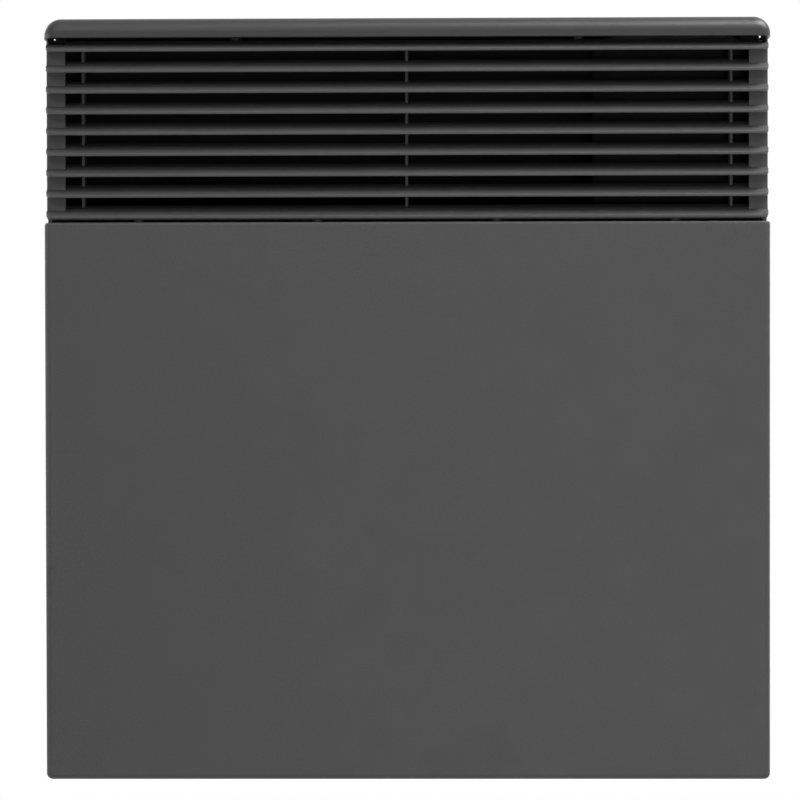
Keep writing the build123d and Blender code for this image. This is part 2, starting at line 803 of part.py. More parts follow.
with BuildPart() as room_sensor:
    peg(upward(sensor_across, sensor_out, sensor_low), sensor_radius, sensor_height)
    fillet(room_sensor.edges().filter_by(GeomType.CIRCLE).sort_by(Axis.Z)[-1], sensor_radius / 2)
save(room_sensor, "room_sensor")

# Control housing
with BuildPart() as control_housing:
    block((housing_left, housing_right), (housing_back, housing_front), (housing_low, fascia_low))
    offset(amount=-housing_wall, openings=control_housing.faces().sort_by(Axis.Z)[-1])
    # An apron in front of the wires, and a wing that closes the gap beside the housing
    block((housing_left, housing_right), (housing_front - housing_wall, housing_front),
          (housing_low - apron_drop, housing_low))
    block((housing_right, chassis_half - wing_gap), (housing_front - housing_wall, housing_front),
          (housing_low - apron_drop, fascia_low))
    # Feet that meet the back chassis round the two screws
    for across in housing_screw_places:
        peg(forward(across, plate_face, housing_screw_level), head_radius, housing_back - plate_face)
        peg(forward(across, wall_gap, housing_screw_level), shank_radius + screw_clearance,
            2 * overrun, Mode.SUBTRACT)
    block((connector_left, connector_right), (connector_back, connector_back + connector_depth),
          (housing_low - overrun, housing_low + overrun), Mode.SUBTRACT)
save(control_housing, "control_housing")

# Fascia that closes the housing and is the floor of the well
post_places = [(across, out)
               for across in (housing_left + post_inset, housing_right - post_inset)
               for out in (housing_back + post_inset, housing_front - post_inset)]
switch_low = fascia_low - switch_depth
stem_start = slider_start - slider_stem / 2
stem_end = slider_start + slider_travel + slider_stem / 2
lens_left = slider_place + slider_width / 2
lens_right = rocker_place - rocker_width / 2 - switch_rim - switch_flange
lens_across = (lens_left + lens_right) / 2
with BuildPart() as control_fascia:
    block((housing_left, housing_right), (housing_back, housing_front), (fascia_low, fascia_top))
    for across, out in post_places:
        peg(downward(across, out, fascia_low), post_radius, board_drop)
        peg(downward(across, out, fascia_low - board_drop + screw_length), shank_radius + running,
            2 * screw_length, Mode.SUBTRACT)
    peg(upward(dial_across, well_out, fascia_low - overrun), shaft_radius + slip,
        2 * overrun, Mode.SUBTRACT)
    block((rocker_place - rocker_width / 2 - switch_rim, rocker_place + rocker_width / 2 + switch_rim),
          (well_out - rocker_length / 2 - switch_rim, well_out + rocker_length / 2 + switch_rim),
          (fascia_low - overrun, fascia_top + overrun), Mode.SUBTRACT)
    block((slider_place - slider_stem / 2 - slip, slider_place + slider_stem / 2 + slip),
          (stem_start - slip, stem_end + slip), (fascia_low - overrun, fascia_top + overrun), Mode.SUBTRACT)
    peg(upward(lens_across, well_out, fascia_low - overrun), lens_radius + running,
        2 * overrun, Mode.SUBTRACT)
save(control_fascia, "control_fascia")

with BuildPart() as indicator_lens:
    peg(upward(lens_across, well_out, fascia_low), lens_radius, fascia_thickness + lens_height)
    fillet(indicator_lens.edges().filter_by(GeomType.CIRCLE).sort_by(Axis.Z)[-1], lens_radius / 2)
save(indicator_lens, "indicator_lens")

# Circuit board and the parts on it
with BuildPart() as circuit_board:
    block((housing_left + board_inset, housing_right - board_inset),
          (housing_back + board_inset, housing_front - board_inset), (board_low, board_top))
    for across, out in post_places:
        peg(upward(across, out, board_low - overrun), shank_radius + screw_clearance,
            2 * overrun, Mode.SUBTRACT)
save(circuit_board, "circuit_board")

with BuildPart() as board_screws:
    for across, out in post_places:
        pan_screw(downward(across, out, board_low), screw_length)
save(board_screws, "board_screws")

with BuildPart() as board_connector:
    block((connector_left, connector_right), (connector_back, connector_back + connector_depth),
          (connector_low, board_low))
save(board_connector, "board_connector")

part_left = housing_left + 2 * post_inset
transformer_depth = board_depth * transformer_depth_share
relay_depth = board_depth * relay_depth_share
part_front = housing_front - board_inset - board_gap
with BuildPart() as transformer:
    block((part_left, part_left + transformer_width), (part_front - transformer_depth, part_front),
          (board_low - transformer_height, board_low))
    fillet(transformer.edges().filter_by(Axis.Z), board_gap)
save(transformer, "transformer")

capacitor_across = part_left + transformer_width + board_gap + capacitor_radius
with BuildPart() as capacitor:
    peg(downward(capacitor_across, part_front - capacitor_radius, board_low), capacitor_radius,
        capacitor_height)
    fillet(capacitor.edges().filter_by(GeomType.CIRCLE).sort_by(Axis.Z)[0], board_gap)
save(capacitor, "capacitor")

relay_left = capacitor_across + capacitor_radius + board_gap
with BuildPart() as relay:
    block((relay_left, relay_left + relay_width), (part_front - relay_depth, part_front),
          (board_low - relay_height, board_low))
save(relay, "relay")

# Potentiometer, and the thermostat dial on its shaft
shaft_top = fascia_top + dial_gap + dial_seat_depth
shaft_low = shaft_top - shaft_length
with BuildPart() as potentiometer:
    block((dial_across - pot_width / 2, dial_across + pot_width / 2),
          (well_out - pot_width / 2, well_out + pot_width / 2), (board_top, board_top + pot_height))
    peg(upward(dial_across, well_out, board_top), pot_bush_radius, fascia_low - slip - board_top)
    peg(upward(dial_across, well_out, shaft_low - slip), shaft_radius + running,
        board_drop, Mode.SUBTRACT)
save(potentiometer, "potentiometer")

dial_low = fascia_top + dial_gap
dial_core_radius = dial_radius * dial_core_share
with BuildPart() as dial_shaft:
    peg(upward(dial_across, well_out, shaft_low), shaft_radius, shaft_length)
save(dial_shaft, "dial_shaft")

with BuildPart() as thermostat_dial:
    peg(upward(dial_across, well_out, dial_low), dial_radius, dial_height)
    chamfer(thermostat_dial.edges().filter_by(GeomType.CIRCLE).sort_by(Axis.Z)[-1], dial_skirt / 2)
    with BuildSketch(upward(dial_across, well_out, dial_low + dial_skirt)):
        with PolarLocations(dial_radius, dial_grip_count):
            Circle(dial_grip_radius)
    extrude(amount=dial_height, mode=Mode.SUBTRACT)
    # Hollow underneath, round a core that grips the shaft
    with BuildSketch(upward(dial_across, well_out, dial_low)):
        Circle(dial_radius - dial_wall - dial_grip_radius)
        Circle(dial_core_radius, mode=Mode.SUBTRACT)
    extrude(amount=dial_height - dial_wall, mode=Mode.SUBTRACT)
    peg(upward(dial_across, well_out, dial_low), shaft_radius, dial_seat_depth, Mode.SUBTRACT)
save(thermostat_dial, "thermostat_dial")

# Rocker switch: a body clipped into the fascia and a rocker that tips on an axle across it
pivot_up = fascia_top - rocker_pivot_drop
rocker_half_width = rocker_width / 2
rocker_half_length = rocker_length / 2
switch_inner_width = rocker_half_width + slip
switch_inner_length = rocker_half_length + slip
switch_outer_width = rocker_half_width + switch_rim
switch_outer_length = rocker_half_length + switch_rim
with BuildPart() as rocker_switch:
    block((rocker_place - switch_outer_width + running, rocker_place + switch_outer_width - running),
          (well_out - switch_outer_length + running, well_out + switch_outer_length - running),
          (switch_low, fascia_top))
    block((rocker_place - switch_outer_width - switch_flange,
           rocker_place + switch_outer_width + switch_flange),
          (well_out - switch_outer_length - switch_flange, well_out + switch_outer_length + switch_flange),
          (fascia_top, fascia_top + switch_rim))
    block((rocker_place - switch_inner_width, rocker_place + switch_inner_width),
          (well_out - switch_inner_length, well_out + switch_inner_length),
          (switch_low + switch_rim, fascia_top + switch_rim + overrun), Mode.SUBTRACT)
    peg(sideways(rocker_place - switch_outer_width, well_out, pivot_up, 1), rocker_axle_radius + running,
        2 * switch_outer_width, Mode.SUBTRACT)
save(rocker_switch, "rocker_switch")

lean_share = math.cos(math.radians(rocker_tilt))
rise_share = math.sin(math.radians(rocker_tilt))
tipped = Plane((rocker_place, -well_out, base + pivot_up), x_dir=(0, lean_share, rise_share), z_dir=(1, 0, 0))
with BuildPart() as switch_rocker:
    with BuildSketch(tipped):
        with BuildLine():
            crown = rocker_height - rocker_pivot_drop
            rocker_reach = (rocker_half_length - rocker_height * rise_share) / lean_share
            left_top = (-rocker_reach, crown)
            right_top = (rocker_reach, crown)
            ThreePointArc(left_top, (0, crown - rocker_pivot_drop), right_top)
            ThreePointArc(right_top, (0, -rocker_height), left_top)
        make_face()
    extrude(amount=rocker_half_width, both=True)
    with BuildSketch(tipped):
        Circle(rocker_axle_radius)
    extrude(amount=switch_outer_width - running, both=True)
save(switch_rocker, "switch_rocker")

# Mode selector: a fixed body under the fascia and a slider with its stem in the slot
channel_floor = fascia_low - mode_switch_channel - slip
with BuildPart() as mode_switch:
    block((slider_place - mode_switch_width / 2, slider_place + mode_switch_width / 2),
          (well_out - mode_switch_length / 2, well_out + mode_switch_length / 2),
          (board_top, fascia_low))
    block((slider_place - slider_stem / 2 - slip, slider_place + slider_stem / 2 + slip),
          (stem_start - slip, stem_end + slip), (channel_floor, fascia_low + overrun), Mode.SUBTRACT)
save(mode_switch, "mode_switch")

with BuildPart() as mode_slider:
    block((slider_place - slider_width / 2, slider_place + slider_width / 2),
          (slider_start - slider_length / 2, slider_start + slider_length / 2),
          (fascia_top + slip, fascia_top + slip + slider_height))
    chamfer(mode_slider.faces().sort_by(Axis.Z)[-1].edges(), slider_stem / 4)
    block((slider_place - slider_stem / 2, slider_place + slider_stem / 2),
          (slider_start - slider_stem / 2, slider_start + slider_stem / 2),
          (channel_floor + slip, fascia_top + slip))
save(mode_slider, "mode_slider")

# Terminal block, its screws, the cable gland and the earth stud
block_front = plate_face + block_depth
with BuildPart() as terminal_block:
    block((block_left, block_right), (plate_face, block_front), (block_level, block_high))
    fillet(terminal_block.edges().filter_by(Axis.Z), screw_clearance + slip)
    for across in poles:
        peg(forward(across, block_front - block_screw_depth, block_high - 2 * block_screw_radius),
            block_screw_radius + running, 2 * block_screw_depth, Mode.SUBTRACT)
    for across in (pole_middle - block_pole_pitch / 2, pole_middle + block_pole_pitch / 2):
        peg(forward(across, block_front - head_height, block_screw_level), head_radius + running,
            2 * block_screw_depth, Mode.SUBTRACT)
        peg(forward(across, wall_gap, block_screw_level), shank_radius + screw_clearance,
            2 * block_depth, Mode.SUBTRACT)
save(terminal_block, "terminal_block")

with BuildPart() as terminal_screws:
    for across in poles:
        peg(forward(across, block_front - block_screw_depth, block_high - 2 * block_screw_radius),
            block_screw_radius, block_screw_depth - slip)
save(terminal_screws, "terminal_screws")

with BuildPart() as cable_gland:
    peg(forward(gland_across, wall_gap - gland_flange, gland_level), gland_flange_radius, gland_flange)
    peg(forward(gland_across, wall_gap, gland_level), gland_radius, chassis_sheet)
    peg(forward(gland_across, plate_face, gland_level), gland_flange_radius, gland_flange)
    peg(forward(gland_across, wall_gap - gland_flange - overrun, gland_level), gland_bore_radius,
        chassis_sheet + 2 * gland_flange + 2 * overrun, Mode.SUBTRACT)
save(cable_gland, "cable_gland")

tag_out = plate_face + earth_nut_height
with BuildPart() as earth_stud:
    peg(forward(earth_across, wall_gap, earth_level), earth_stud_radius, earth_stud_length)
    with BuildSketch(forward(earth_across, plate_face, earth_level)):
        RegularPolygon(earth_nut_radius, 6)
    extrude(amount=earth_nut_height)
    block((earth_across - earth_tag_width / 2, earth_across + earth_tag_width / 2),
          (tag_out, tag_out + earth_tag_sheet),
          (earth_level - earth_tag_width / 2, earth_level + earth_tag_length))
save(earth_stud, "earth_stud")


def wire(points, name, bends):
    """Insulated wire along straight runs joined by tangent arcs, with a radius for each corner."""
    places = [(across, -out, base + up) for across, out, up in points]
    with BuildPart() as cable:
        with BuildLine():
            path = FilletPolyline(*places, radius=bends)
        start = Plane(origin=path @ 0, z_dir=path % 0)
        with BuildSketch(start) as section:
            Circle(wire_radius)
        sweep(section.sketch, path=path)
    plain_volume = math.pi * wire_radius ** 2 * path.length
    print(name, "length", round(path.length, 1), "bends", bends,
          "volume share", round(cable.part.volume / plain_volume, 4))
    save(cable, name)


# Wires from the terminal block up to the board
for pole, post, name in ((poles[1], wire_posts[0], "live_wire"), (poles[2], wire_posts[1], "neutral_wire")):
    wire([(pole, wire_out, block_high),
          (pole, wire_out, block_high + wire_lift),
          (post, wire_out, block_high + 2 * wire_lift),
          (post, wire_out, connector_low)],
         name, [4 * wire_bend, 4 * wire_bend])

# Earth wire from the first pole over to the stud
earth_out = tag_out + earth_tag_sheet / 2
wire([(poles[0], wire_out, block_high),
      (poles[0], wire_out, block_high + 2 * wire_bend),
      (earth_across, earth_out, block_high + 2 * wire_bend),
      (earth_across, earth_out, earth_level + earth_tag_length)],
     "earth_wire", [wire_bend, wire_bend])

# Right end of the element up to the board
wire([(terminal_end, element_out, element_level),
      (wire_side, element_out, element_level),
      (wire_side, element_out, wire_turn_level),
      (wire_side, wire_out, wire_turn_level + wire_lift),
      (wire_posts[2], wire_out, wire_turn_level + 2 * wire_lift),
      (wire_posts[2], wire_out, connector_low)],
     "element_wire_right", [wire_bend, 2 * wire_bend, 2 * wire_bend, 2 * wire_bend])

# Left end of the element over to the thermal cut-out
wire([(-terminal_end, element_out, element_level),
      (-wire_side, element_out, element_level),
      (-wire_side, element_out, wire_turn_level),
      (-wire_side, cutout_middle, wire_turn_level + wire_lift),
      (-wire_side, cutout_middle, wire_cross_level),
      (cutout_tops[0], cutout_middle, wire_cross_level),
      (cutout_tops[0], cutout_middle, cutout_top)],
     "element_wire_left", [wire_bend, 2 * wire_bend, 2 * wire_bend, 2 * wire_bend, wire_bend])

# Thermal cut-out over to the board, in front of the upright wires
wire([(cutout_tops[1], cutout_middle, cutout_top),
      (cutout_tops[1], cutout_middle, wire_cross_level),
      (cutout_tops[1] + wire_lift, wire_front_out, wire_cross_level),
      (wire_posts[3], wire_front_out, wire_cross_level),
      (wire_posts[3], wire_out, wire_cross_level + wire_lift),
      (wire_posts[3], wire_out, connector_low)],
     "cutout_wire", [wire_bend, 2 * wire_bend, wire_bend, 2 * wire_bend])

# Room sensor up to the board
wire([(sensor_across, sensor_out, sensor_low + sensor_height),
      (sensor_across, sensor_out, sensor_low + sensor_height + wire_lift),
      (sensor_across, wire_out, sensor_low + sensor_height + 3 * wire_lift),
      (sensor_across, wire_out, wire_cross_level),
      (wire_posts[4], wire_out, wire_cross_level + wire_lift),
      (wire_posts[4], wire_out, connector_low)],
     "sensor_wire", [4 * wire_bend, 4 * wire_bend, 4 * wire_bend, 2 * wire_bend])

# Wall bracket: a framed plate with two side arms, a top ledge and two hooks
plate_half = plate_width / 2
window_half = plate_half - plate_band
window_rise = plate_height / 2 - plate_band
with BuildPart() as wall_bracket:
    block((-plate_half, plate_half), (0, plate_sheet), (plate_low, plate_high))
    with BuildSketch(facing(-overrun)):
        RectangleRounded(2 * window_half, 2 * window_rise, plate_corner_radius)
    extrude(amount=2 * overrun, mode=Mode.SUBTRACT)
    block((-plate_half, plate_half), (0, arm_out - ledge_setback), (plate_high - plate_sheet, plate_high))
    for side in (-1, 1):
        arm = (side * arm_across - plate_sheet / 2, side * arm_across + plate_sheet / 2)
        block(arm, (0, arm_out), (plate_low, plate_high))
        nose_out = wall_gap + hook_reach
        block(arm, (arm_out - overrun, nose_out), (hook_level, hook_level + hook_height))
        block(arm, (nose_out - hook_nose_depth, nose_out),
              (hook_level, hook_level + hook_height + hook_nose_rise))
        peg(upward(side * lock_across, lock_out, plate_high - overrun), lock_pivot_radius + running,
            2 * overrun, Mode.SUBTRACT)
    with BuildSketch(facing(-overrun)):
        with GridLocations(screw_spacing_across, screw_spacing_up, 2, 2):
            Circle(wall_screw_radius)
    extrude(amount=2 * overrun, mode=Mode.SUBTRACT)
save(wall_bracket, "wall_bracket")

# Turning locks on the ledge, with a nose that reaches through the back chassis
pivot_top = lock_low + lock_hub_height - lock_pivot_head
for side, name in ((-1, "lock_lever_left"), (1, "lock_lever_right")):
    with BuildPart() as lock_lever:
        peg(upward(side * lock_across, lock_out, lock_low), lock_hub_radius, lock_hub_height)
        block((side * lock_across - lock_nose_width / 2, side * lock_across + lock_nose_width / 2),
              (lock_out, lock_out + lock_reach), (lock_low, lock_high))
        fillet(lock_lever.edges().filter_by(Axis.Z).group_by(Axis.Y)[0], lock_nose_width / 4)
        hub_reach = lock_hub_radius + overrun
        block((side * lock_across - hub_reach, side * lock_across + hub_reach),
              (lock_out - lock_slot_width / 2, lock_out + lock_slot_width / 2),
              (lock_low + lock_hub_height - lock_slot_depth, lock_low + lock_hub_height + overrun),
              Mode.SUBTRACT)
        peg(upward(side * lock_across, lock_out, lock_low - overrun), lock_pivot_radius + running,
            lock_hub_height + 2 * overrun, Mode.SUBTRACT)
        peg(upward(side * lock_across, lock_out, pivot_top - slip), lock_pivot_head_radius + slip,
            lock_pivot_head + slip + overrun, Mode.SUBTRACT)
    save(lock_lever, name)

with BuildPart() as lock_pivots:
    for side in (-1, 1):
        peg(upward(side * lock_across, lock_out, plate_high - plate_sheet - lock_pivot_head),
            lock_pivot_head_radius, lock_pivot_head)
        peg(upward(side * lock_across, lock_out, plate_high - plate_sheet), lock_pivot_radius,
            pivot_top - plate_high + plate_sheet)
        peg(upward(side * lock_across, lock_out, pivot_top), lock_pivot_head_radius, lock_pivot_head)
save(lock_pivots, "lock_pivots")

# Spacers that keep the lower back corners off the wall
with BuildPart() as wall_spacers:
    for side in (-1, 1):
        peg(forward(side * spacer_across, 0, spacer_level), spacer_radius, wall_gap)
        peg(forward(side * spacer_across, wall_gap, spacer_level), spacer_peg_radius, chassis_sheet)
        peg(forward(side * spacer_across, plate_face, spacer_level), spacer_cap_radius, spacer_cap)
    fillet(wall_spacers.edges().filter_by(GeomType.CIRCLE).group_by(Axis.Y)[-1], spacer_cap)
save(wall_spacers, "wall_spacers")

# Screws, each group in one file
with BuildPart() as cover_screws:
    for side in (-1, 1):
        for up in side_screw_levels:
            pan_screw(sideways(side * half_width, side_screw_out, up, side), screw_length)
save(cover_screws, "cover_screws")

with BuildPart() as grille_screws:
    for across in grille_screw_places:
        pan_screw(downward(across, grille_screw_out, cover_height - cover_sheet), screw_length)
save(grille_screws, "grille_screws")

with BuildPart() as cap_screws:
    for side in (-1, 1):
        pan_screw(downward(side * cap_boss_across, cap_screw_front, grille_high - rail_height), screw_length)
        pan_screw(downward(side * cap_boss_across, cap_screw_back, grille_high - chassis_sheet), screw_length)
save(cap_screws, "cap_screws")

with BuildPart() as sheet_metal_screws:
    for across, thickness, up in sheet_screws:
        pan_screw(forward(across, plate_face + thickness, up), thickness + sheet_screw_length)
save(sheet_metal_screws, "sheet_metal_screws")

with BuildPart() as block_screws:
    for across in (pole_middle - block_pole_pitch / 2, pole_middle + block_pole_pitch / 2):
        pan_screw(forward(across, block_front - head_height, block_screw_level),
                  block_depth - head_height + sheet_screw_length)
save(block_screws, "block_screws")
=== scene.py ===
import bpy
import math
from mathutils import Matrix, Vector
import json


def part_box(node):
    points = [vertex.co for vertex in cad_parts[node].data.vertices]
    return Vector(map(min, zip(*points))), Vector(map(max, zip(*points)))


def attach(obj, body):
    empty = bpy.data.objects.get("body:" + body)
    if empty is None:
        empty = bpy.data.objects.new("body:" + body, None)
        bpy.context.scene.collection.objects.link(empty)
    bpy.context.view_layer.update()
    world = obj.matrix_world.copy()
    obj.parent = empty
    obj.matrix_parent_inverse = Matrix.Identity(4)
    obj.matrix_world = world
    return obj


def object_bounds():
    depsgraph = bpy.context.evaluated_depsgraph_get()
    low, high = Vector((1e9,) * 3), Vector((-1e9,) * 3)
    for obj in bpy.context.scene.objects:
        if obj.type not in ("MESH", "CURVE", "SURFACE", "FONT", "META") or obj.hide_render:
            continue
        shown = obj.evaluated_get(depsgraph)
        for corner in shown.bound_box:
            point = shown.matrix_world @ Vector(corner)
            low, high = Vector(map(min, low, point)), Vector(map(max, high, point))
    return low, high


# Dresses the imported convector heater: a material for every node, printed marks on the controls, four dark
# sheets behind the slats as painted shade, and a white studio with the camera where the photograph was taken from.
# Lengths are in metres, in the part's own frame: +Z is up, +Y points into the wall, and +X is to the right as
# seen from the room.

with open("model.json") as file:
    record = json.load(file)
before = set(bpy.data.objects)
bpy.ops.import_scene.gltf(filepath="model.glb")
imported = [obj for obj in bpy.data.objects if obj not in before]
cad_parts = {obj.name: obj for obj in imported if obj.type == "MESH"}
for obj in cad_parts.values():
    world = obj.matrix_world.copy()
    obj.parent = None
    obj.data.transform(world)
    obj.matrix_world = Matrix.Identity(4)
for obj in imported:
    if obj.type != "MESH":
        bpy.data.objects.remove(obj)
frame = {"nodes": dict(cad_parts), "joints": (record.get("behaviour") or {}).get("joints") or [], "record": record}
cad_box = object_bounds()
MM = 0.001


# ---------------------------------------------------------------- materials
SPANGLE_CELLS = 95.0            # zinc crystals per metre
SPANGLE_SHARE = (0.35, 0.65)    # how much of the shade the crystals give, from patch to patch
SPECK_SHARE = (0.55, 0.75)      # how much of it the specks give
WEAR_PATCHES = 260.0            # patches per metre
WEAR_SPAN = (0.42, 0.62)        # noise values between which wear sets in
EDGE_SPAN = (0.80, 0.97)        # how far softened and flat normals agree: at an edge, on a flat face
WORN_SHARE = 0.5                # a worn colour keeps this share of its own
WORN_LIFT = 0.12                # and gains this much grey
MATT_PATCHES = 55.0             # patches per metre
LEAST_ROUGHNESS = 0.03
GRAIN_HEIGHT = 0.4 * MM
EDGE_SAMPLES = 4
MIX_FIRST, MIX_SECOND, MIX_RESULT = 6, 7, 2    # a Mix node's sockets for colours


def feed(tree, value, socket):
    """Puts another node's output, a colour or a number on a socket."""
    if isinstance(value, bpy.types.NodeSocket):
        tree.links.new(value, socket)
    else:
        socket.default_value = (*value, 1) if isinstance(value, tuple) else value


def noise(tree, scale, coordinates, detail=3.0):
    node = tree.nodes.new("ShaderNodeTexNoise")
    node.inputs["Scale"].default_value = scale
    node.inputs["Detail"].default_value = detail
    feed(tree, coordinates, node.inputs["Vector"])
    return node.outputs["Fac"]


def spread(tree, value, span, source=(0.3, 0.7)):
    """Maps a value onto a span. The usual source is the middle of a noise."""
    node = tree.nodes.new("ShaderNodeMapRange")
    node.inputs["From Min"].default_value, node.inputs["From Max"].default_value = source
    node.inputs["To Min"].default_value, node.inputs["To Max"].default_value = span
    feed(tree, value, node.inputs["Value"])
    return node.outputs["Result"]


def combined(tree, operation, first, second):
    """Two values through one Math node."""
    node = tree.nodes.new("ShaderNodeMath")
    node.operation = operation
    feed(tree, first, node.inputs[0])
    feed(tree, second, node.inputs[1])
    return node.outputs["Value"]


def blend_colours(tree, factor, first, second):
    node = tree.nodes.new("ShaderNodeMix")
    node.data_type = "RGBA"
    feed(tree, factor, node.inputs[0])
    feed(tree, first, node.inputs[MIX_FIRST])
    feed(tree, second, node.inputs[MIX_SECOND])
    return node.outputs[MIX_RESULT]


def varied(tree, factor, colour, share):
    """The colour, darker and lighter by a share as the factor goes from 0 to 1."""
    dark, light = (tuple(min(1.0, part * level) for part in colour) for level in (1 - share, 1 + share))
    return blend_colours(tree, factor, dark, light)


def edge_wear(tree, normal, wear, coordinates):
    """How worn a point is: patches of wear on the edges, where the softened normal leaves the flat one."""
    geometry = tree.nodes.new("ShaderNodeNewGeometry")
    match = tree.nodes.new("ShaderNodeVectorMath")
    match.operation = "DOT_PRODUCT"
    feed(tree, normal, match.inputs[0])
    feed(tree, geometry.outputs["Normal"], match.inputs[1])
    patches = spread(tree, noise(tree, WEAR_PATCHES, coordinates, detail=4.0), (0.0, wear), WEAR_SPAN)
    edges = spread(tree, match.outputs["Value"], (1.0, 0.0), EDGE_SPAN)
    return combined(tree, "MULTIPLY", patches, edges)


def finish(slot, colour, rough, metal=0.0, specular=0.5, tint=0.08, tint_scale=14.0, speck=0.0,
           speck_scale=900.0, bump=0.0, bump_scale=900.0, stretch=(1, 1, 1), rough_spread=0.05,
           soft_edge=0.0, wear=0.0, spangle=0.0, clear=0.0):
    """One procedural material: broad tint, crystals, fine specks, grain, softened and worn edges."""
    made = bpy.data.materials.new(slot)
    made.use_nodes = True
    tree = made.node_tree
    shader = tree.nodes["Principled BSDF"]
    shader.inputs["Metallic"].default_value = metal
    shader.inputs["Specular IOR Level"].default_value = specular
    shader.inputs["Transmission Weight"].default_value = clear
    place = tree.nodes.new("ShaderNodeTexCoord").outputs["Object"]
    mapping = tree.nodes.new("ShaderNodeMapping")
    mapping.inputs["Scale"].default_value = stretch
    feed(tree, place, mapping.inputs["Vector"])
    along = mapping.outputs["Vector"]

    broad = spread(tree, noise(tree, tint_scale, along), (0.0, 1.0))
    shade = varied(tree, broad, colour, tint)
    if spangle:
        cells = tree.nodes.new("ShaderNodeTexVoronoi")
        cells.inputs["Scale"].default_value = SPANGLE_CELLS
        feed(tree, place, cells.inputs["Vector"])
        parts = tree.nodes.new("ShaderNodeSeparateColor")
        feed(tree, cells.outputs["Color"], parts.inputs["Color"])
        crystals = varied(tree, parts.outputs["Red"], colour, spangle)
        shade = blend_colours(tree, spread(tree, broad, SPANGLE_SHARE, (0.0, 1.0)), shade, crystals)
    if speck:
        fine = spread(tree, noise(tree, speck_scale, along, detail=2.0), (0.0, 1.0))
        specks = varied(tree, fine, colour, speck)
        shade = blend_colours(tree, spread(tree, broad, SPECK_SHARE, (0.0, 1.0)), shade, specks)

    normal = None
    if soft_edge:
        bevel = tree.nodes.new("ShaderNodeBevel")
        bevel.samples = EDGE_SAMPLES
        bevel.inputs["Radius"].default_value = soft_edge
        normal = bevel.outputs["Normal"]
        if wear:
            worn = tuple(WORN_SHARE * part + WORN_LIFT for part in colour)
            shade = blend_colours(tree, edge_wear(tree, normal, wear, place), shade, worn)
    feed(tree, shade, shader.inputs["Base Color"])

    matt_span = (max(LEAST_ROUGHNESS, rough - rough_spread), min(1.0, rough + rough_spread))
    matt = spread(tree, noise(tree, MATT_PATCHES, along, detail=4.0), matt_span)
    feed(tree, matt, shader.inputs["Roughness"])

    if bump:
        grain = tree.nodes.new("ShaderNodeBump")
        grain.inputs["Strength"].default_value = bump
        grain.inputs["Distance"].default_value = GRAIN_HEIGHT
        feed(tree, noise(tree, bump_scale, along), grain.inputs["Height"])
        if normal:
            feed(tree, normal, grain.inputs["Normal"])
        normal = grain.outputs["Normal"]
    if normal:
        feed(tree, normal, shader.inputs["Normal"])
    return made


# What the looks below share. The scales of tint, speck and bump are features per metre.
FINE_EDGE, EDGE, FULL_EDGE = 0.2 * MM, 0.3 * MM, 0.4 * MM
moulding = dict(tint=0.02, speck=0.1, speck_scale=1300.0, bump=0.22, bump_scale=1500.0, wear=0.08)
# Black paint for the parts inside; black_sheet and housing_plastic darken it below real paint, partly painted
# shade for the inside seen between the slats
black = dict(tint=0.1, rough=0.9, specular=0.05)
rubber = dict(specular=0.3, tint=0.12, bump=0.2)
wire = dict(rough=0.45, tint=0.12, tint_scale=90.0, bump=0.05)

